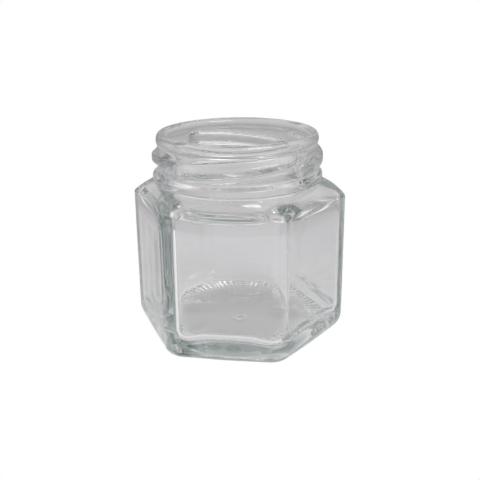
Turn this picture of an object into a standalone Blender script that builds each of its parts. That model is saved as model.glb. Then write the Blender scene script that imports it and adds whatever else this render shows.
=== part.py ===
"""Hexagonal preserve jar in clear glass, empty and without its lid.

Metres, +Z up. The origin is the centre of the base, in the plane that the jar
stands on. Two opposite corners of the body lie on the X axis, and the front
face looks along -Y. The jar is one closed skin of rings: from the middle of
the underside out to the heel, up the outside, over the rim, and down the
inside to the middle of the floor.
"""

from collections import namedtuple
import math

import bmesh
import bpy

MM = 0.001
SIDES = 6
SECTOR = math.tau / SIDES
HALF_SECTOR = SECTOR / 2.0

# Outside of the body
HEIGHT = 51.0 * MM
LOW_APOTHEM = 23.75 * MM
TOP_APOTHEM = 23.6 * MM
BODY_CORNER = 4.3 * MM
FACE_TOP = 36.2 * MM
EDGE_TUCK = 0.12 * MM
EDGE_TURN = 0.65 * MM
EDGE_INSET = 1.0 * MM
EDGE_RISE = 1.25 * MM
EDGE_CORNER = 6.0 * MM
EDGE_STEPS = 4
CORNER_SAG = 1.1 * MM
SAG_POWER = 4

# Underside and heel
SOLE_OUT = 20.8 * MM
SOLE_IN = 18.1 * MM
SOLE_CORNER = 4.4 * MM
SOLE_BELLY = 0.45 * MM
HEEL_RISE = 4.4 * MM
HEEL_STEPS = 5
PUSH_UP = 1.0 * MM
HUB_RADIUS = 4.0 * MM
DOME_STEPS = 5

# Shoulder, and the bead at the foot of the neck
SHOULDER_TOP = 38.5 * MM
SHOULDER_FOOT = 20.7 * MM
SHOULDER_FOOT_SAG = 0.35 * MM
SHOULDER_STEPS = 3
NECK_FOOT = 38.85 * MM
BEAD_RADIUS = 20.85 * MM
BEAD_MIDDLE = 40.3 * MM
BEAD_HALF = 1.9 * MM
BEAD_FLANK = 0.7

# Neck, lugs and rim
NECK_RADIUS = 19.5 * MM
NECK_STEPS = 15
RIM_RADIUS = 19.8 * MM
RIM_LOW = 47.7 * MM
RIM_WIDEST = 49.2 * MM
RIM_STEPS = 3
LIP_RADIUS = 18.65 * MM
LIP_INSET = 1.6 * MM
LUG_COUNT = 4
LUG_HEIGHT = 1.4 * MM
LUG_HALF_WIDTH = 2.4 * MM
LUG_FLANK = 0.75
LUG_TAPER = 6.0 * MM
LUG_HIGH_END = 46.5 * MM
LUG_DROP = 2.85 * MM
LUG_SPAN = math.radians(96.0)
LUG_FIRST_END = math.radians(56.0)
LUG_OVERRUN = math.radians(45.0)

# Inside
NECK_WALL = 2.25 * MM
SIDE_WALL = 2.7 * MM
CAVITY_CORNER = 3.0 * MM
BORE_FOOT = 38.0 * MM
BORE_TURN = 36.2 * MM
SLOPE_REACH = 18.9 * MM
SLOPE_HEIGHT = 34.95 * MM
SLOPE_CORNER = 8.0 * MM
CAVITY_TOP = 33.7 * MM
CAVITY_TURN = 0.4 * MM
CAVITY_TUCK = 0.15 * MM
CAVITY_TOP_RISE = 1.2 * MM
INNER_BEND_STEPS = 5
FLOOR = 3.9 * MM
FLOOR_ROUND = 4.6 * MM
FLOOR_ROUND_STEPS = 5
FLOOR_CORNER = 7.0 * MM
FLOOR_SAG = 1.4 * MM
FLOOR_EDGE_SAG = 0.56 * MM
FLOOR_CROWN = 0.7 * MM
FLOOR_FADE = 3
FLOOR_STEPS = 3

# Facets of the skin
SECTOR_STEPS = 14
SEGMENTS = SIDES * SECTOR_STEPS
CORNER_SHARE = 0.42
SMOOTH_ANGLE = math.radians(38.0)

GLASS_COLOUR = (0.80, 0.82, 0.81, 1.0)
GLASS_ROUGHNESS = 0.02
GLASS_IOR = 1.52

# A hexagon with rounded corners. Its corners hang lower than its sides by
# sag, and its sides swell out by belly.
Ring = namedtuple("Ring", "apothem z corner sag belly", defaults=(0.0, 0.0))


def remove_everything():
    """Empty the scene, so that only the jar is left in it."""
    for old in list(bpy.data.objects):
        bpy.data.objects.remove(old, do_unlink=True)


def mix(low, high, share):
    """Value that lies the given share of the way from low to high."""
    return low + (high - low) * share


def ease(value):
    """Ease from 0 to 1 with level ends, held outside them."""
    value = min(1.0, max(0.0, value))
    return value * value * (3.0 - 2.0 * value)


def circle(radius, z):
    """Ring whose corner round is so large that it is a circle."""
    return Ring(radius, z, radius)


def corner_turn(ring):
    """Angle at the axis from a corner's middle to where its round ends."""
    flat_half = (ring.apothem - ring.corner) * math.tan(HALF_SECTOR)
    return HALF_SECTOR - math.atan2(flat_half, ring.apothem)


def bearing_of(slot, ring):
    """Bearing of one vertex of a ring, crowded into the rounded corners."""
    sector, step = divmod(slot, SECTOR_STEPS)
    place = step / SECTOR_STEPS
    side = 1.0
    if place > 0.5:
        place = 1.0 - place
        sector += 1
        side = -1.0
    turn = corner_turn(ring)
    share = mix(CORNER_SHARE, 1.0, ease(turn / HALF_SECTOR)) / 2.0
    if place <= share:
        offset = turn * place / share
    else:
        offset = mix(turn, HALF_SECTOR, (place - share) / (0.5 - share))
    return sector * SECTOR + side * offset


def radius_at(bearing, ring):
    """Distance from the axis to the outline of a ring."""
    offset = abs((bearing + HALF_SECTOR) % SECTOR - HALF_SECTOR)
    swell = ring.belly * ease(offset / HALF_SECTOR)
    if offset > corner_turn(ring):
        return ring.apothem / math.cos(HALF_SECTOR - offset) + swell
    centre = (ring.apothem - ring.corner) / math.cos(HALF_SECTOR)
    across = centre * math.sin(offset)
    reach = math.sqrt(max(0.0, ring.corner ** 2 - across ** 2))
    return centre * math.cos(offset) + reach + swell


def between(start, end, level, upright, blend):
    """Ring between two others, by its shares of the way across and up."""
    return Ring(
        mix(start.apothem, end.apothem, level),
        mix(start.z, end.z, upright),
        mix(start.corner, end.corner, blend),
        mix(start.sag, end.sag, blend),
        mix(start.belly, end.belly, level),
    )


def quarter_round(start, end, steps, level_first):
    """Rings along a quarter of an ellipse, without the first one."""
    rings = []
    for step in range(1, steps + 1):
        angle = math.pi / 2.0 * step / steps
        level, upright = math.sin(angle), 1.0 - math.cos(angle)
        if not level_first:
            level, upright = upright, level
        rings.append(between(start, end, level, upright, ease(step / steps)))
    return rings


def bend(start, middle, end, steps):
    """Rings along a bend whose tangents both point at the middle ring."""
    rings = []
    for step in range(1, steps + 1):
        share = step / steps
        first = between(start, middle, share, share, share)
        last = between(middle, end, share, share, share)
        rings.append(between(first, last, share, share, share))
    return rings


def underside_rings():
    """Push-up under the base, and the ring that the jar stands on."""
    rings = []
    for step in range(DOME_STEPS):
        reach = mix(HUB_RADIUS, SOLE_IN, step / DOME_STEPS)
        rings.append(circle(reach, dome_height(reach)))
    rings.append(circle(SOLE_IN, 0.0))
    rings.append(Ring(SOLE_OUT, 0.0, SOLE_CORNER, 0.0, SOLE_BELLY))
    return rings


def dome_height(reach):
    """Height of the push-up at a distance from the axis."""
    nearness = 1.0 - (reach / SOLE_IN) ** 2
    return PUSH_UP * nearness * nearness


def body_rings():
    """Heel, upright faces and the rounded edge above them."""
    sole = Ring(SOLE_OUT, 0.0, SOLE_CORNER, 0.0, SOLE_BELLY)
    wall_foot = Ring(LOW_APOTHEM, HEEL_RISE, BODY_CORNER)
    wall_top = Ring(TOP_APOTHEM, FACE_TOP, BODY_CORNER, CORNER_SAG)
    turn = wall_top._replace(apothem=TOP_APOTHEM - EDGE_TUCK, z=FACE_TOP + EDGE_TURN)
    rings = quarter_round(sole, wall_foot, HEEL_STEPS, level_first=True)
    rings.append(wall_top)
    return rings + bend(wall_top, turn, edge_ring(), EDGE_STEPS)


def edge_ring():
    """Where the rounded edge of the faces meets the shoulder."""
    return Ring(
        TOP_APOTHEM - EDGE_INSET, FACE_TOP + EDGE_RISE, EDGE_CORNER, CORNER_SAG)


def shoulder_rings():
    """Slope from the hexagon in to the foot of the round neck."""
    edge = edge_ring()
    foot = circle(SHOULDER_FOOT, SHOULDER_TOP)._replace(sag=SHOULDER_FOOT_SAG)
    rings = []
    for step in range(1, SHOULDER_STEPS + 1):
        share = step / SHOULDER_STEPS
        ring = between(edge, foot, share, share, ease(share))
        rings.append(ring._replace(corner=min(ring.corner, ring.apothem)))
    return rings


def bead_radius(z):
    """Outer radius where the bead swells out of the neck."""
    place = abs(z - BEAD_MIDDLE) / BEAD_HALF
    return mix(NECK_RADIUS, BEAD_RADIUS, ease((1.0 - place) / BEAD_FLANK))


def neck_rings():
    """Bead at the foot of the neck, and the stretch that carries the lugs."""
    rings = []
    for step in range(NECK_STEPS + 1):
        z = mix(NECK_FOOT, RIM_LOW, step / NECK_STEPS)
        rings.append(circle(bead_radius(z), z))
    return rings


def rim_rings():
    """Ring under the lip, the rounded lip, and the top of the bore."""
    swell = circle(RIM_RADIUS, RIM_WIDEST)
    lip = circle(LIP_RADIUS, HEIGHT)
    bore = circle(NECK_RADIUS - NECK_WALL, HEIGHT - LIP_INSET)
    rings = [swell]
    rings += quarter_round(swell, lip, RIM_STEPS, level_first=False)
    return rings + quarter_round(lip, bore, RIM_STEPS, level_first=True)


def cavity_rings():
    """Bore, inner shoulder, inner faces and the floor."""
    bore = circle(NECK_RADIUS - NECK_WALL, BORE_FOOT)
    top = Ring(TOP_APOTHEM - SIDE_WALL, CAVITY_TOP, CAVITY_CORNER, -CAVITY_TOP_RISE)
    low = Ring(
        LOW_APOTHEM - SIDE_WALL, FLOOR + FLOOR_ROUND, CAVITY_CORNER, FLOOR_SAG)
    edge = Ring(low.apothem - FLOOR_ROUND, FLOOR, FLOOR_CORNER, FLOOR_EDGE_SAG)
    rings = [bore]
    rings += inner_shoulder_rings(bore, top)
    rings.append(low)
    rings += quarter_round(low, edge, FLOOR_ROUND_STEPS, level_first=False)
    for step in range(1, FLOOR_STEPS):
        share = 1.0 - step / FLOOR_STEPS
        reach = edge.apothem * share
        rings.append(Ring(
            reach,
            FLOOR + FLOOR_CROWN * (1.0 - share * share),
            mix(reach, edge.corner, share ** FLOOR_FADE),
            edge.sag * share ** FLOOR_FADE,
        ))
    return rings


def inner_shoulder_rings(bore, top):
    """Slope that opens the bore out to the hexagon inside the faces."""
    slope = Ring(SLOPE_REACH, SLOPE_HEIGHT, SLOPE_CORNER, top.sag / 2.0)
    over = bore._replace(z=BORE_TURN)
    under = top._replace(apothem=top.apothem - CAVITY_TUCK, z=top.z + CAVITY_TURN)
    rings = bend(bore, over, slope, INNER_BEND_STEPS)
    return rings + bend(slope, under, top, INNER_BEND_STEPS)


def lug_swell(bearing, z):
    """How far the four slanting lugs stand out of the neck at a point."""
    length = LUG_SPAN * NECK_RADIUS
    most = 0.0
    for number in range(LUG_COUNT):
        end = LUG_FIRST_END + math.tau * number / LUG_COUNT
        turn = (end - bearing + LUG_OVERRUN) % math.tau - LUG_OVERRUN
        along = turn * NECK_RADIUS
        nearest = min(max(along, LUG_HALF_WIDTH), length - LUG_HALF_WIDTH)
        middle = LUG_HIGH_END - LUG_DROP * along / length
        away = math.hypot(along - nearest, z - middle) / LUG_HALF_WIDTH
        end_share = ease(min(along, length - along) / LUG_TAPER)
        most = max(most, ease((1.0 - away) / LUG_FLANK) * end_share)
    return LUG_HEIGHT * most


def ring_points(ring, with_lugs):
    """Points of one ring, in order of their slots."""
    points = []
    for slot in range(SEGMENTS):
        bearing = bearing_of(slot, ring)
        radius = radius_at(bearing, ring)
        nearness = (1.0 + math.cos(SIDES * bearing)) / 2.0
        z = ring.z - ring.sag * nearness ** SAG_POWER
        if with_lugs:
            radius += lug_swell(bearing, z)
        points.append((radius * math.cos(bearing), radius * math.sin(bearing), z))
    return points


def all_rings():
    """Points of every ring, from the middle of the underside to the floor."""
    below = underside_rings() + body_rings() + shoulder_rings()
    inside = rim_rings()[1:] + cavity_rings()
    points = [ring_points(ring, with_lugs=False) for ring in below]
    for ring in neck_rings() + rim_rings()[:1]:
        points.append(ring_points(ring, with_lugs=True))
    return points + [ring_points(ring, with_lugs=False) for ring in inside]


def extruded(bm, edges):
    """Extrude a loop of edges, and give the new loop's vertices and edges."""
    parts = bmesh.ops.extrude_edge_only(bm, edges=edges)["geom"]
    verts = [part for part in parts if isinstance(part, bmesh.types.BMVert)]
    return verts, [part for part in parts if isinstance(part, bmesh.types.BMEdge)]


def build_glass():
    """Grow the skin ring by ring and close it at both middles."""
    bm = bmesh.new()
    slots = bm.verts.layers.int.new("slot")
    first = bmesh.ops.create_circle(
        bm, cap_ends=True, cap_tris=True, segments=SEGMENTS, radius=HUB_RADIUS)
    hub = max(first["verts"], key=lambda vert: len(vert.link_edges))
    hub.co.z = PUSH_UP
    verts = [vert for vert in first["verts"] if vert is not hub]
    verts.sort(key=lambda vert: math.atan2(vert.co.y, vert.co.x) % math.tau)
    for slot, vert in enumerate(verts):
        vert[slots] = slot
    edges = [edge for edge in bm.edges if hub not in edge.verts]
    for number, points in enumerate(all_rings()):
        if number:
            verts, edges = extruded(bm, edges)
        for vert in verts:
            vert.co = points[vert[slots]]
    verts, edges = extruded(bm, edges)
    bmesh.ops.pointmerge(bm, verts=verts, merge_co=(0.0, 0.0, FLOOR + FLOOR_CROWN))
    bmesh.ops.recalc_face_normals(bm, faces=bm.faces[:])
    mesh = bpy.data.meshes.new("jar_glass")
    bm.to_mesh(mesh)
    bm.free()
    mesh.shade_smooth()
    mesh.set_sharp_from_angle(angle=SMOOTH_ANGLE)
    return mesh


def glass_material():
    """Clear glass with a faint grey-green cast."""
    material = bpy.data.materials.new("clear_glass")
    material.use_nodes = True
    shader = material.node_tree.nodes["Principled BSDF"]
    shader.inputs["Base Color"].default_value = GLASS_COLOUR
    shader.inputs["Roughness"].default_value = GLASS_ROUGHNESS
    shader.inputs["Metallic"].default_value = 0.0
    shader.inputs["IOR"].default_value = GLASS_IOR
    shader.inputs["Transmission Weight"].default_value = 1.0
    return material


def main():
    """Make the jar in an empty scene."""
    remove_everything()
    mesh = build_glass()
    mesh.materials.append(glass_material())
    jar = bpy.data.objects.new("jar_glass", mesh)
    bpy.context.scene.collection.objects.link(jar)


main()
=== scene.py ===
"""Looks of an empty hexagonal preserve jar in clear glass, around its frame."""
import logging
import math
from dataclasses import dataclass, field, replace
from enum import Enum

import bmesh
import bpy
from mathutils import Matrix, Vector


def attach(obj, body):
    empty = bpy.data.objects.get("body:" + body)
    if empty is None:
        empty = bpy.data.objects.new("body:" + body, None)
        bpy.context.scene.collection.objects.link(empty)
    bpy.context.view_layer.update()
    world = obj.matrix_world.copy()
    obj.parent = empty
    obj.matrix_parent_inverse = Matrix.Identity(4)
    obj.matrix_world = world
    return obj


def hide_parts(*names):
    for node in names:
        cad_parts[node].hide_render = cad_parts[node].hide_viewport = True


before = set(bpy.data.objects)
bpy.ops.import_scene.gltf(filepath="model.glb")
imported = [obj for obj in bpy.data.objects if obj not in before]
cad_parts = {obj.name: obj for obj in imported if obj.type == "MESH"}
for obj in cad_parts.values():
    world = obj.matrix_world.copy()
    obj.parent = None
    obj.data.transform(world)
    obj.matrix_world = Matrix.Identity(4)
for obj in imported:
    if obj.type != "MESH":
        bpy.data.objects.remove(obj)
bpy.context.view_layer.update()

LOG = logging.getLogger("hexagonal_jar")

MM = 0.001
SIDES = 6
SECTOR = math.tau / SIDES
HALF_SECTOR = SECTOR / 2.0
JAR_NODE = "jar_glass"
BODY = "root"
SAG_POWER = 4
LIGHT_BOUNCES = 64


def mix(low: float, high: float, share: float) -> float:
    """Value that lies the given share of the way from low to high."""
    return low + (high - low) * share


def ease(value: float) -> float:
    """Ease from 0 to 1 with level ends, held outside them."""
    value = min(1.0, max(0.0, value))
    return value * value * (3.0 - 2.0 * value)


class Turn(Enum):
    """Which way a quarter round leaves its start."""

    LEVEL_FIRST = "level"
    UPRIGHT_FIRST = "upright"


class Relief(Enum):
    """What stands out of, or is sunk into, a stretch of the skin."""

    PLAIN = "plain"
    LUGS = "lugs"
    UNDERSIDE = "underside"


@dataclass(frozen=True)
class Ring:
    """One loop of the skin: a hexagon with rounded corners at one height.

    A corner round as large as the apothem makes it a circle. Its corners
    hang lower than its sides by sag, and its sides swell out by belly. Drift
    pulls its -X end in towards the axis.
    """

    apothem: float
    z: float
    corner: float
    sag: float = 0.0
    belly: float = 0.0
    drift: float = 0.0
    relief: Relief = Relief.PLAIN

    @classmethod
    def circle(cls, radius: float, z: float, relief: Relief = Relief.PLAIN) -> "Ring":
        """Ring that is a plain circle."""
        return cls(radius, z, radius, relief=relief)

    def corner_turn(self) -> float:
        """Angle at the axis from a corner's middle to where its round ends."""
        flat_half = (self.apothem - self.corner) * math.tan(HALF_SECTOR)
        return HALF_SECTOR - math.atan2(flat_half, self.apothem)

    def radius_at(self, bearing: float) -> float:
        """Distance of the outline from the axis.

        Args:
            bearing: angle round the axis, 0 on a corner.

        Returns:
            The distance in metres.
        """
        offset = abs((bearing + HALF_SECTOR) % SECTOR - HALF_SECTOR)
        swell = self.belly * ease(offset / HALF_SECTOR)
        if offset > self.corner_turn():
            return self.apothem / math.cos(HALF_SECTOR - offset) + swell
        centre = (self.apothem - self.corner) / math.cos(HALF_SECTOR)
        across = centre * math.sin(offset)
        reach = math.sqrt(max(0.0, self.corner ** 2 - across ** 2))
        return centre * math.cos(offset) + reach + swell

    def height_at(self, bearing: float) -> float:
        """Height of the loop at a bearing, with its corners sagging."""
        nearness = (1.0 + math.cos(SIDES * bearing)) / 2.0
        return self.z - self.sag * nearness ** SAG_POWER

    def toward(self, other: "Ring", level: float, upright: float, blend: float) -> "Ring":
        """Ring between this one and another.

        Args:
            other: the ring at the far end.
            level: share of the way across.
            upright: share of the way in height.
            blend: share of the way for the corner, the sag and the drift.

        Returns:
            The ring between them, with this one's relief.
        """
        return replace(
            self,
            apothem=mix(self.apothem, other.apothem, level),
            z=mix(self.z, other.z, upright),
            corner=mix(self.corner, other.corner, blend),
            sag=mix(self.sag, other.sag, blend),
            belly=mix(self.belly, other.belly, level),
            drift=mix(self.drift, other.drift, blend),
        )


def quarter_round(start: Ring, end: Ring, steps: int, turn: Turn) -> list[Ring]:
    """Rings along a quarter of an ellipse between two rings.

    Args:
        start: ring that the curve leaves.
        end: ring that it reaches.
        steps: number of rings made.
        turn: whether it leaves level or upright.

    Returns:
        The rings after start, up to and including end.
    """
    rings = []
    for step in range(1, steps + 1):
        angle = math.pi / 2.0 * step / steps
        level, upright = math.sin(angle), 1.0 - math.cos(angle)
        if turn is Turn.UPRIGHT_FIRST:
            level, upright = upright, level
        rings.append(start.toward(end, level, upright, ease(step / steps)))
    return rings


def soft_bend(start: Ring, end: Ring, steps: int) -> list[Ring]:
    """Rings along a soft S between two rings.

    Args:
        start: ring that the curve leaves upright.
        end: ring that it reaches upright.
        steps: number of rings made.

    Returns:
        The rings after start, up to and including end.
    """
    rings = []
    for step in range(1, steps + 1):
        share = step / steps
        rings.append(start.toward(end, ease(share), share, ease(share)))
    return rings


def straight_run(start: Ring, end: Ring, steps: int) -> list[Ring]:
    """Rings evenly spaced from one ring to another, without the first."""
    return [
        start.toward(end, step / steps, step / steps, step / steps)
        for step in range(1, steps + 1)
    ]


@dataclass(frozen=True)
class Ribs:
    """Short radial grooves pressed into the ring that the jar stands on."""

    count: int = 84
    depth: float = 0.42 * MM
    inner: float = 16.4 * MM
    outer: float = 21.5 * MM
    fade: float = 0.7 * MM

    def sink(self, bearing: float, reach: float) -> float:
        """How far the underside is lifted by the grooves.

        Args:
            bearing: angle round the axis.
            reach: apothem of the ring that the point is on.

        Returns:
            Lift in metres.
        """
        inside = ease((reach - self.inner) / self.fade)
        outside = ease((self.outer - reach) / self.fade)
        wave = 0.5 - 0.5 * math.cos(self.count * bearing)
        return self.depth * inside * outside * wave


@dataclass(frozen=True)
class MouldMark:
    """Small ring-shaped ridge that the mould leaves under the base."""

    centre: tuple[float, float] = (1.2 * MM, -4.4 * MM)
    radius: float = 1.35 * MM
    width: float = 0.55 * MM
    depth: float = 0.3 * MM

    def sink(self, x: float, y: float) -> float:
        """Lift of the underside at a point, in metres."""
        off = math.hypot(x - self.centre[0], y - self.centre[1]) - self.radius
        return self.depth * ease(1.0 - abs(off) / self.width)


@dataclass(frozen=True)
class Base:
    """Underside: the push-up, and the ribbed ring that the jar stands on."""

    sole_out: float = 20.8 * MM
    sole_in: float = 18.1 * MM
    corner: float = 4.4 * MM
    belly: float = 0.45 * MM
    push_up: float = 1.0 * MM
    hub_radius: float = 1.0 * MM
    dome_steps: int = 34
    sole_steps: int = 14
    ribs: Ribs = Ribs()
    mark: MouldMark = MouldMark()

    def sole_edge(self) -> Ring:
        """Outer edge of the ring that the jar stands on."""
        return Ring(
            self.sole_out, 0.0, self.corner, belly=self.belly, relief=Relief.UNDERSIDE)

    def rings(self) -> list[Ring]:
        """Rings from the middle of the underside out to the heel.

        Returns:
            The rings, the last one being the sole's edge.
        """
        rings = []
        for step in range(self.dome_steps):
            reach = mix(self.hub_radius, self.sole_in, step / self.dome_steps)
            height = self.push_up * (1.0 - (reach / self.sole_in) ** 2) ** 2
            rings.append(Ring.circle(reach, height, Relief.UNDERSIDE))
        inner = Ring.circle(self.sole_in, 0.0, Relief.UNDERSIDE)
        rings.append(inner)
        return rings + straight_run(inner, self.sole_edge(), self.sole_steps)


def bend(start: Ring, middle: Ring, end: Ring, steps: int) -> list[Ring]:
    """Rings along a bend that leaves start towards middle, and reaches end from it.

    Args:
        start: ring that the curve leaves.
        middle: ring that both tangents point at.
        end: ring that it reaches.
        steps: number of rings made.

    Returns:
        The rings after start, up to and including end.
    """
    rings = []
    for step in range(1, steps + 1):
        share = step / steps
        first = start.toward(middle, share, share, share)
        last = middle.toward(end, share, share, share)
        rings.append(first.toward(last, share, share, share))
    return rings


@dataclass(frozen=True)
class Walls:
    """Heel, six flat faces and the rounded edge that ends them above.

    The tangents of that edge meet at edge_turn above the faces, and it ends
    at edge_rise above them. The top band keeps its start crisp.
    """

    top_apothem: float = 23.6 * MM
    low_apothem: float = 23.75 * MM
    corner: float = 4.3 * MM
    heel_rise: float = 4.4 * MM
    face_top: float = 36.2 * MM
    top_band: float = 0.12 * MM
    edge_tuck: float = 0.12 * MM
    edge_turn: float = 0.65 * MM
    edge_inset: float = 1.0 * MM
    edge_rise: float = 1.25 * MM
    corner_sag: float = 1.1 * MM
    edge_corner: float = 6.0 * MM
    heel_steps: int = 12
    face_steps: int = 4
    edge_steps: int = 8

    def face_ring(self) -> Ring:
        """Top of the flat faces, where the rounded edge begins."""
        return Ring(self.top_apothem, self.face_top, self.corner, self.corner_sag)

    def edge(self) -> Ring:
        """Where the rounded upper edge meets the shoulder."""
        return Ring(
            self.top_apothem - self.edge_inset,
            self.face_top + self.edge_rise,
            self.edge_corner,
            self.corner_sag,
        )

    def rings(self, sole: Ring) -> list[Ring]:
        """Rings from the sole's edge up to the shoulder.

        Args:
            sole: outer edge of the ring that the jar stands on.

        Returns:
            The rings after the sole's edge.
        """
        foot = Ring(self.low_apothem, self.heel_rise, self.corner)
        top = self.face_ring()
        below = replace(top, z=self.face_top - self.top_band)
        above = replace(
            top, apothem=top.apothem - self.edge_tuck, z=self.face_top + self.edge_turn)
        plain_sole = replace(sole, relief=Relief.PLAIN)
        rings = quarter_round(plain_sole, foot, self.heel_steps, Turn.LEVEL_FIRST)
        rings += straight_run(foot, below, self.face_steps) + [top]
        return rings + bend(top, above, self.edge(), self.edge_steps)


@dataclass(frozen=True)
class Shoulder:
    """Slope from the hexagon in to the foot of the round neck."""

    foot_radius: float = 20.7 * MM
    foot_sag: float = 0.35 * MM
    top: float = 38.5 * MM
    steps: int = 10

    def rings(self, edge: Ring) -> list[Ring]:
        """Rings from the edge of the faces to the foot of the neck.

        Args:
            edge: where the rounded edge of the faces ends.

        Returns:
            The rings after the edge.
        """
        foot = replace(Ring.circle(self.foot_radius, self.top), sag=self.foot_sag)
        rings = []
        for step in range(1, self.steps + 1):
            share = step / self.steps
            ring = edge.toward(foot, share, share, ease(share))
            rings.append(replace(ring, corner=min(ring.corner, ring.apothem)))
        return rings


@dataclass(frozen=True)
class Lugs:
    """Four slanting ridges that hold a twist-off lid, a right-hand thread.

    A point's turn is measured down the thread from a lug's high end, and
    wraps at overrun before that end.
    """

    count: int = 4
    height: float = 1.4 * MM
    half_width: float = 2.4 * MM
    high_end: float = 46.5 * MM
    drop: float = 2.85 * MM
    span: float = math.radians(96.0)
    first_end: float = math.radians(56.0)
    overrun: float = math.radians(45.0)
    root: float = 19.5 * MM
    flank: float = 0.75
    taper: float = 6.0 * MM

    def swell(self, bearing: float, z: float) -> float:
        """How far the lugs stand out of the neck at a point.

        Args:
            bearing: angle round the axis.
            z: height.

        Returns:
            The swell in metres.
        """
        length = self.span * self.root
        most = 0.0
        for number in range(self.count):
            end = self.first_end + math.tau * number / self.count
            turn = (end - bearing + self.overrun) % math.tau - self.overrun
            along = turn * self.root
            nearest = min(max(along, self.half_width), length - self.half_width)
            middle = self.high_end - self.drop * along / length
            away = math.hypot(along - nearest, z - middle) / self.half_width
            end_share = ease(min(along, length - along) / self.taper)
            most = max(most, ease((1.0 - away) / self.flank) * end_share)
        return self.height * most


@dataclass(frozen=True)
class Neck:
    """Round neck with the bead at its foot and the lugs above."""

    radius: float = 19.5 * MM
    foot: float = 38.85 * MM
    bead_radius: float = 20.85 * MM
    bead_middle: float = 40.3 * MM
    bead_half: float = 1.9 * MM
    bead_flank: float = 0.7
    steps: int = 40
    lugs: Lugs = Lugs()

    def bead_at(self, z: float) -> float:
        """Radius of the neck at a height, with the bead but no lugs."""
        place = abs(z - self.bead_middle) / self.bead_half
        return mix(self.radius, self.bead_radius, ease((1.0 - place) / self.bead_flank))

    def rings(self, top: float) -> list[Ring]:
        """Rings from the foot of the neck up to a height.

        Args:
            top: height where the ring under the lip begins.

        Returns:
            The rings of the bead and of the stretch with the lugs.
        """
        rings = []
        for step in range(self.steps + 1):
            z = mix(self.foot, top, step / self.steps)
            rings.append(Ring.circle(self.bead_at(z), z, Relief.LUGS))
        return rings


@dataclass(frozen=True)
class Rim:
    """Thickened ring under the lip, and the rounded lip."""

    radius: float = 19.8 * MM
    low: float = 47.7 * MM
    widest: float = 49.2 * MM
    lip_radius: float = 18.65 * MM
    lip_inset: float = 1.6 * MM
    steps: int = 9

    def rings(self, neck: Neck, wall: float, top: float) -> list[Ring]:
        """Rings over the lip, from the neck outside to the bore inside.

        Args:
            neck: the neck that carries the rim.
            wall: thickness of the neck.
            top: height of the jar.

        Returns:
            The rings after the neck's last one.
        """
        low = Ring.circle(neck.radius, self.low, Relief.LUGS)
        swell = Ring.circle(self.radius, self.widest, Relief.LUGS)
        lip = Ring.circle(self.lip_radius, top)
        bore = Ring.circle(neck.radius - wall, top - self.lip_inset)
        rings = soft_bend(low, swell, self.steps)
        over = quarter_round(
            replace(swell, relief=Relief.PLAIN), lip, self.steps, Turn.UPRIGHT_FIRST)
        return rings + over + quarter_round(lip, bore, self.steps, Turn.LEVEL_FIRST)


@dataclass(frozen=True)
class Cavity:
    """Hollow of the jar: bore, inner shoulder, inner faces and floor.

    Drift leans its -X side in towards the axis, where the glass is thicker.
    """

    neck_wall: float = 2.25 * MM
    side_wall: float = 2.7 * MM
    corner: float = 3.0 * MM
    drift: float = 1.0 * MM
    bore_foot: float = 38.0 * MM
    bore_turn: float = 36.2 * MM
    slope_reach: float = 18.9 * MM
    slope_height: float = 34.95 * MM
    slope_corner: float = 8.0 * MM
    slope_share: float = 0.5
    top: float = 33.7 * MM
    top_turn: float = 0.4 * MM
    top_tuck: float = 0.15 * MM
    top_rise: float = 1.2 * MM
    floor: float = 3.9 * MM
    floor_round: float = 4.6 * MM
    floor_corner: float = 7.0 * MM
    floor_sag: float = 1.4 * MM
    edge_sag: float = 0.56 * MM
    crown: float = 0.7 * MM
    floor_fade: int = 3
    bend_steps: int = 14
    face_steps: int = 6
    round_steps: int = 14
    floor_steps: int = 6

    def centre_height(self) -> float:
        """Height of the middle of the floor."""
        return self.floor + self.crown

    def rings(self, neck: Neck, walls: Walls) -> list[Ring]:
        """Rings from the bore down to the middle of the floor.

        Args:
            neck: the neck, whose bore this goes on from.
            walls: the faces that the hollow lies inside.

        Returns:
            The rings after the lip.
        """
        bore = Ring.circle(neck.radius - self.neck_wall, self.bore_foot)
        top = Ring(
            walls.top_apothem - self.side_wall, self.top, self.corner,
            -self.top_rise, drift=self.drift)
        low = Ring(
            walls.low_apothem - self.side_wall, self.floor + self.floor_round,
            self.corner, self.floor_sag, drift=self.drift)
        edge = Ring(
            low.apothem - self.floor_round, self.floor, self.floor_corner,
            self.edge_sag, drift=self.drift)
        rings = [bore]
        rings += self.inner_shoulder(bore, top)
        rings += straight_run(top, low, self.face_steps)
        rings += quarter_round(low, edge, self.round_steps, Turn.UPRIGHT_FIRST)
        for step in range(1, self.floor_steps):
            share = 1.0 - step / self.floor_steps
            reach = edge.apothem * share
            hexagon = share ** self.floor_fade
            rings.append(Ring(
                reach,
                self.floor + self.crown * (1.0 - share * share),
                mix(reach, edge.corner, hexagon),
                edge.sag * hexagon,
                drift=edge.drift * share,
            ))
        return rings

    def inner_shoulder(self, bore: Ring, top: Ring) -> list[Ring]:
        """Rings that open the bore out to the hexagon inside the faces.

        Args:
            bore: foot of the bore.
            top: top of the inner faces.

        Returns:
            The rings after the bore's foot, up to and including top.
        """
        slope = Ring(
            self.slope_reach, self.slope_height, self.slope_corner,
            top.sag * self.slope_share, drift=top.drift * self.slope_share)
        over = replace(bore, z=self.bore_turn)
        under = replace(
            top, apothem=top.apothem - self.top_tuck, z=top.z + self.top_turn)
        opening = bend(bore, over, slope, self.bend_steps)
        return opening + bend(slope, under, top, self.bend_steps)


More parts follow.
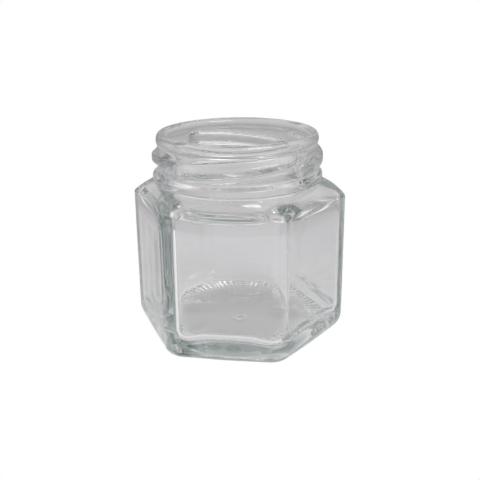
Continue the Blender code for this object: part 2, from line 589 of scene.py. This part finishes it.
@dataclass(frozen=True)
class ClearGlass:
    """Clear glass, faintly grey-green where it is thick, with soft ripples."""

    name: str = "clear_glass"
    colour: tuple[float, float, float] = (1.0, 1.0, 1.0)
    roughness: float = 0.0
    ior: float = 1.52
    ripple_scale: float = 90.0
    ripple_detail: float = 1.0
    ripple_depth: float = 0.04 * MM
    tint: tuple[float, float, float] = (0.31, 0.41, 0.38)
    tint_density: float = 16.0

    def material(self) -> bpy.types.Material:
        """Make the node material.

        Returns:
            The material, which reads Object coordinates.
        """
        material = bpy.data.materials.new(self.name)
        material.use_nodes = True
        nodes, links = material.node_tree.nodes, material.node_tree.links
        shader = nodes["Principled BSDF"]
        shader.inputs["Base Color"].default_value = (*self.colour, 1.0)
        shader.inputs["Roughness"].default_value = self.roughness
        shader.inputs["IOR"].default_value = self.ior
        shader.inputs["Transmission Weight"].default_value = 1.0
        place = nodes.new("ShaderNodeTexCoord")
        ripple = nodes.new("ShaderNodeTexNoise")
        ripple.inputs["Scale"].default_value = self.ripple_scale
        ripple.inputs["Detail"].default_value = self.ripple_detail
        bump = nodes.new("ShaderNodeBump")
        bump.inputs["Distance"].default_value = self.ripple_depth
        links.new(place.outputs["Object"], ripple.inputs["Vector"])
        links.new(ripple.outputs["Fac"], bump.inputs["Height"])
        links.new(bump.outputs["Normal"], shader.inputs["Normal"])
        depth = nodes.new("ShaderNodeVolumeAbsorption")
        depth.inputs["Color"].default_value = (*self.tint, 1.0)
        depth.inputs["Density"].default_value = self.tint_density
        output = nodes["Material Output"]
        links.new(depth.outputs["Volume"], output.inputs["Volume"])
        return material


def paint_ramp(
    ramp: bpy.types.ColorRamp,
    levels: tuple[tuple[float, float], ...],
    tone: tuple[float, float, float],
) -> None:
    """Set a colour ramp to grey levels of one tone.

    Args:
        ramp: the ramp to set.
        levels: place and brightness of each stop.
        tone: colour that the brightness is multiplied by.
    """
    while len(ramp.elements) < len(levels):
        ramp.elements.new(1.0)
    for stop, (place, level) in zip(ramp.elements, levels):
        stop.position = place
        stop.color = (*(level * part for part in tone), 1.0)


@dataclass(frozen=True)
class PaleFloor:
    """Plain pale ground, white to the eye; in the glass it is lit by the lamps and also
    glows with painted light.

    That painted glow fades from the front edge to the back one by the listed stops, a
    painted falloff of light, and is dimmed to a set share under the jar, inside a set
    reach from the axis, as a painted contact shadow.
    """

    name: str = "pale_floor"
    seen: float = 1.0
    lit: float = 0.33
    tone: tuple[float, float, float] = (1.0, 0.982, 1.0)
    edges: tuple[float, float] = (-0.06, 0.30)
    # painted falloff: stops of the glow the glass shows, painted brighter at the front
    # edge and darker at the back
    painted_falloff: tuple[tuple[float, float], ...] = (
        (0.0, 0.95), (0.12, 0.52), (0.24, 0.34), (0.45, 0.23), (1.0, 0.10))
    # painted contact shadow: distances from the axis between which the painted shade
    # under the jar fades out, and the share of glow left under it
    painted_shade_reach: tuple[float, float] = (0.013, 0.019)
    painted_contact_shade: float = 0.55

    def material(self) -> bpy.types.Material:
        """Make the node material of the floor.

        Returns:
            The material, which reads Object coordinates.
        """
        material = bpy.data.materials.new(self.name)
        material.use_nodes = True
        nodes, links = material.node_tree.nodes, material.node_tree.links
        nodes.clear()
        path = nodes.new("ShaderNodeLightPath")
        diffuse = nodes.new("ShaderNodeBsdfDiffuse")
        diffuse.inputs["Color"].default_value = (
            *(self.lit * part for part in self.tone), 1.0)
        in_glass = nodes.new("ShaderNodeAddShader")
        links.new(diffuse.outputs["BSDF"], in_glass.inputs[0])
        links.new(self.painted_glow(material.node_tree).outputs["Emission"], in_glass.inputs[1])
        plain = nodes.new("ShaderNodeEmission")
        plain.inputs["Strength"].default_value = self.seen
        join = nodes.new("ShaderNodeMixShader")
        links.new(path.outputs["Is Camera Ray"], join.inputs["Fac"])
        links.new(in_glass.outputs["Shader"], join.inputs[1])
        links.new(plain.outputs["Emission"], join.inputs[2])
        output = nodes.new("ShaderNodeOutputMaterial")
        links.new(join.outputs["Shader"], output.inputs["Surface"])
        return material

    def painted_glow(self, tree: bpy.types.NodeTree) -> bpy.types.Node:
        """Add the painted light and painted shade that the glass shows of the floor.

        Args:
            tree: the node tree of the floor's material.

        Returns:
            The emission node.
        """
        nodes, links = tree.nodes, tree.links
        place = nodes.new("ShaderNodeTexCoord")
        split = nodes.new("ShaderNodeSeparateXYZ")
        # painted falloff of light: the glow is painted brighter towards the front edge
        # and darker towards the back
        fall = nodes.new("ShaderNodeMapRange")
        fall.inputs["From Min"].default_value = self.edges[0]
        fall.inputs["From Max"].default_value = self.edges[1]
        shade = nodes.new("ShaderNodeValToRGB")
        paint_ramp(shade.color_ramp, self.painted_falloff, self.tone)
        reach = nodes.new("ShaderNodeVectorMath")
        reach.operation = "LENGTH"
        # painted contact shadow: the glow is dimmed under the jar, near the axis
        under = nodes.new("ShaderNodeMapRange")
        under.interpolation_type = "SMOOTHSTEP"
        under.inputs["From Min"].default_value = self.painted_shade_reach[0]
        under.inputs["From Max"].default_value = self.painted_shade_reach[1]
        under.inputs["To Min"].default_value = self.painted_contact_shade
        painted_glow = nodes.new("ShaderNodeEmission")
        links.new(place.outputs["Object"], split.inputs["Vector"])
        links.new(split.outputs["Y"], fall.inputs["Value"])
        links.new(fall.outputs["Result"], shade.inputs["Fac"])
        links.new(shade.outputs["Color"], painted_glow.inputs["Color"])
        links.new(place.outputs["Object"], reach.inputs["Vector"])
        links.new(reach.outputs["Value"], under.inputs["Value"])
        links.new(under.outputs["Result"], painted_glow.inputs["Strength"])
        return painted_glow


@dataclass
class JarGlass:
    """The whole jar, one closed skin of glass grown ring by ring."""

    height: float = 51.0 * MM
    segments: int = 432
    corner_share: float = 0.42
    sharp_angle: float = math.radians(50.0)
    base: Base = field(default_factory=Base)
    walls: Walls = field(default_factory=Walls)
    shoulder: Shoulder = field(default_factory=Shoulder)
    neck: Neck = field(default_factory=Neck)
    rim: Rim = field(default_factory=Rim)
    cavity: Cavity = field(default_factory=Cavity)
    finish: ClearGlass = field(default_factory=ClearGlass)

    def rings(self) -> list[Ring]:
        """All rings, from the middle of the underside to that of the floor.

        Returns:
            The rings, in the order that the skin is grown in.
        """
        rings = self.base.rings()
        rings += self.walls.rings(rings[-1])
        rings += self.shoulder.rings(self.walls.edge())
        rings += self.neck.rings(self.rim.low)
        rings += self.rim.rings(self.neck, self.cavity.neck_wall, self.height)
        rings += self.cavity.rings(self.neck, self.walls)
        return rings

    def bearing_of(self, slot: int, ring: Ring) -> float:
        """Bearing of one vertex of a ring, crowded into rounded corners.

        Args:
            slot: number of the vertex round the ring.
            ring: the ring that it is on.

        Returns:
            The bearing in radians.
        """
        steps = self.segments // SIDES
        sector, step = divmod(slot, steps)
        place, side = step / steps, 1.0
        if place > 0.5:
            place, sector, side = 1.0 - place, sector + 1, -1.0
        turn = ring.corner_turn()
        share = mix(self.corner_share, 1.0, ease(turn / HALF_SECTOR)) / 2.0
        if place <= share:
            offset = turn * place / share
        else:
            offset = mix(turn, HALF_SECTOR, (place - share) / (0.5 - share))
        return sector * SECTOR + side * offset

    def point(self, slot: int, ring: Ring) -> Vector:
        """Place of one vertex, with the relief of its stretch of skin.

        Args:
            slot: number of the vertex round the ring.
            ring: the ring that it is on.

        Returns:
            The point in metres.
        """
        bearing = self.bearing_of(slot, ring)
        radius = ring.radius_at(bearing)
        z = ring.height_at(bearing)
        if ring.relief is Relief.LUGS:
            radius += self.neck.lugs.swell(bearing, z)
        x = radius * math.cos(bearing) + ring.drift * (1.0 - math.cos(bearing)) / 2.0
        y = radius * math.sin(bearing)
        if ring.relief is Relief.UNDERSIDE:
            z += self.base.ribs.sink(bearing, ring.apothem)
            z += self.base.mark.sink(x, y)
        return Vector((x, y, z))

    def grow(self, bm: bmesh.types.BMesh) -> None:
        """Extrude the skin ring by ring and close it at both middles.

        Args:
            bm: the empty bmesh that it is grown in.
        """
        slots = bm.verts.layers.int.new("slot")
        rings = self.rings()
        loop = bmesh.ops.create_circle(
            bm, cap_ends=True, cap_tris=True, segments=self.segments,
            radius=self.base.hub_radius)["verts"]
        hub = max(loop, key=lambda vert: len(vert.link_edges))
        hub.co.z = rings[0].z
        verts = [vert for vert in loop if vert is not hub]
        verts.sort(key=lambda vert: math.atan2(vert.co.y, vert.co.x) % math.tau)
        for slot, vert in enumerate(verts):
            vert[slots] = slot
        edges = [edge for edge in bm.edges if hub not in edge.verts]
        for number, ring in enumerate(rings):
            if number:
                verts, edges = self.extruded(bm, edges)
            for vert in verts:
                vert.co = self.point(vert[slots], ring)
        verts, edges = self.extruded(bm, edges)
        middle = Vector((0.0, 0.0, self.cavity.centre_height()))
        bmesh.ops.pointmerge(bm, verts=verts, merge_co=middle)
        bmesh.ops.recalc_face_normals(bm, faces=bm.faces[:])

    @staticmethod
    def extruded(
        bm: bmesh.types.BMesh, edges: list[bmesh.types.BMEdge]
    ) -> tuple[list[bmesh.types.BMVert], list[bmesh.types.BMEdge]]:
        """Extrude a loop of edges.

        Args:
            bm: the bmesh that holds them.
            edges: the open loop.

        Returns:
            The new loop's vertices and edges.
        """
        parts = bmesh.ops.extrude_edge_only(bm, edges=edges)["geom"]
        verts = [part for part in parts if isinstance(part, bmesh.types.BMVert)]
        return verts, [part for part in parts if isinstance(part, bmesh.types.BMEdge)]

    def build(self) -> bpy.types.Object:
        """Make the jar, dress it and hang it on the frame.

        Returns:
            The finished piece.
        """
        bm = bmesh.new()
        self.grow(bm)
        mesh = bpy.data.meshes.new("jar_shell")
        bm.to_mesh(mesh)
        bm.free()
        mesh.shade_smooth()
        mesh.set_sharp_from_angle(angle=self.sharp_angle)
        mesh.materials.append(self.finish.material())
        jar = bpy.data.objects.new("jar_shell", mesh)
        bpy.context.scene.collection.objects.link(jar)
        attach(jar, BODY)
        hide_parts(JAR_NODE)
        return jar


@dataclass(frozen=True)
class SoftLamp:
    """One large, soft rectangular lamp."""

    name: str
    place: tuple[float, float, float]
    size: tuple[float, float]
    power: float
    aim: tuple[float, float, float] = (0.0, 0.0, 0.03)

    def build(self) -> None:
        """Hang the lamp, turned to its aim."""
        light = bpy.data.lights.new(self.name, "AREA")
        light.shape = "RECTANGLE"
        light.size, light.size_y = self.size
        light.energy = self.power
        lamp = bpy.data.objects.new(self.name, light)
        bpy.context.scene.collection.objects.link(lamp)
        lamp.location = self.place
        way = Vector(self.aim) - Vector(self.place)
        lamp.rotation_euler = way.to_track_quat("-Z", "Y").to_euler()


@dataclass
class Studio:
    """Pale floor, pale surroundings and soft lamps.

    Bands give the brightness that the glass shows of the surroundings, from
    the horizon at 0 to overhead at 1.
    """

    floor_size: float = 1.6
    floor_drop: float = 0.3 * MM
    seen: float = 1.0
    tone: tuple[float, float, float] = (1.0, 0.976, 0.990)
    bands: tuple[tuple[float, float], ...] = (
        (0.0, 0.42), (0.35, 0.60), (0.62, 1.10), (0.84, 0.92), (0.96, 0.32))
    floor: PaleFloor = field(default_factory=PaleFloor)
    lamps: tuple[SoftLamp, ...] = (
        SoftLamp("key", (0.25, -0.25, 0.45), (0.3, 0.2), 1.0),
    )

    def build(self) -> None:
        """Lay the floor, paint the surroundings and hang the lamps."""
        bm = bmesh.new()
        bmesh.ops.create_grid(bm, size=self.floor_size / 2.0)
        bmesh.ops.translate(bm, verts=bm.verts, vec=(0.0, 0.0, -self.floor_drop))
        mesh = bpy.data.meshes.new("floor")
        bm.to_mesh(mesh)
        bm.free()
        mesh.materials.append(self.floor.material())
        floor = bpy.data.objects.new("floor", mesh)
        bpy.context.scene.collection.objects.link(floor)
        self.surround()
        for lamp in self.lamps:
            lamp.build()

    def surround(self) -> None:
        """Paint the surroundings, white to the eye and banded by height in the glass."""
        world = bpy.data.worlds.new("surroundings")
        bpy.context.scene.world = world
        world.use_nodes = True
        tree = world.node_tree
        tree.nodes.clear()
        output = tree.nodes.new("ShaderNodeOutputWorld")
        join = tree.nodes.new("ShaderNodeMixShader")
        path = tree.nodes.new("ShaderNodeLightPath")
        plain = tree.nodes.new("ShaderNodeBackground")
        plain.inputs["Color"].default_value = (self.seen, self.seen, self.seen, 1.0)
        shaded = tree.nodes.new("ShaderNodeBackground")
        way = tree.nodes.new("ShaderNodeTexCoord")
        split = tree.nodes.new("ShaderNodeSeparateXYZ")
        shade = tree.nodes.new("ShaderNodeValToRGB")
        paint_ramp(shade.color_ramp, self.bands, self.tone)
        tree.links.new(way.outputs["Generated"], split.inputs["Vector"])
        tree.links.new(split.outputs["Z"], shade.inputs["Fac"])
        tree.links.new(shade.outputs["Color"], shaded.inputs["Color"])
        tree.links.new(path.outputs["Is Camera Ray"], join.inputs["Fac"])
        tree.links.new(shaded.outputs["Background"], join.inputs[1])
        tree.links.new(plain.outputs["Background"], join.inputs[2])
        tree.links.new(join.outputs["Shader"], output.inputs["Surface"])


@dataclass(frozen=True)
class PhotoCamera:
    """Camera at the photograph's place, fitted to the jar's outline."""

    aim_height: float = 25.94 * MM
    distance: float = 169.66 * MM
    azimuth: float = math.radians(8.673)
    elevation: float = math.radians(18.802)
    roll: float = math.radians(-0.668)
    film: float = 36.0
    lens: float = 49.86
    shift: tuple[float, float] = (0.00369, -0.02580)
    clip_start: float = 1.0 * MM

    def build(self) -> None:
        """Set the camera up and make it the scene's own."""
        level, lift = math.cos(self.elevation), math.sin(self.elevation)
        across, along = math.cos(self.azimuth), math.sin(self.azimuth)
        back = Vector((along * level, -across * level, lift))
        right = Vector((across, along, 0.0))
        turned = Matrix.Rotation(self.roll, 3, back)
        right = turned @ right
        place = Matrix((right, back.cross(right), back)).transposed().to_4x4()
        aim = Vector((0.0, 0.0, self.aim_height))
        place.translation = aim + back * self.distance
        lens = bpy.data.cameras.new("photo_camera")
        lens.sensor_width = self.film
        lens.lens = self.lens
        lens.shift_x, lens.shift_y = self.shift
        lens.clip_start = self.clip_start
        camera = bpy.data.objects.new("photo_camera", lens)
        bpy.context.scene.collection.objects.link(camera)
        camera.matrix_world = place
        bpy.context.scene.camera = camera


def set_light_paths() -> None:
    """Let light cross as many glass surfaces as a whole jar has."""
    scene = bpy.context.scene
    scene.view_settings.view_transform = "Standard"
    scene.cycles.max_bounces = LIGHT_BOUNCES
    scene.cycles.transmission_bounces = LIGHT_BOUNCES
    scene.cycles.glossy_bounces = LIGHT_BOUNCES
    scene.cycles.transparent_max_bounces = LIGHT_BOUNCES


def main() -> None:
    """Build the jar, the studio and the camera, and report each piece."""
    logging.basicConfig(level=logging.INFO, format="%(name)s: %(message)s")
    PhotoCamera().build()
    Studio().build()
    jar = JarGlass().build()
    LOG.info("%s: %d faces", jar.name, len(jar.data.polygons))
    set_light_paths()


if __name__ == "__main__":
    main()
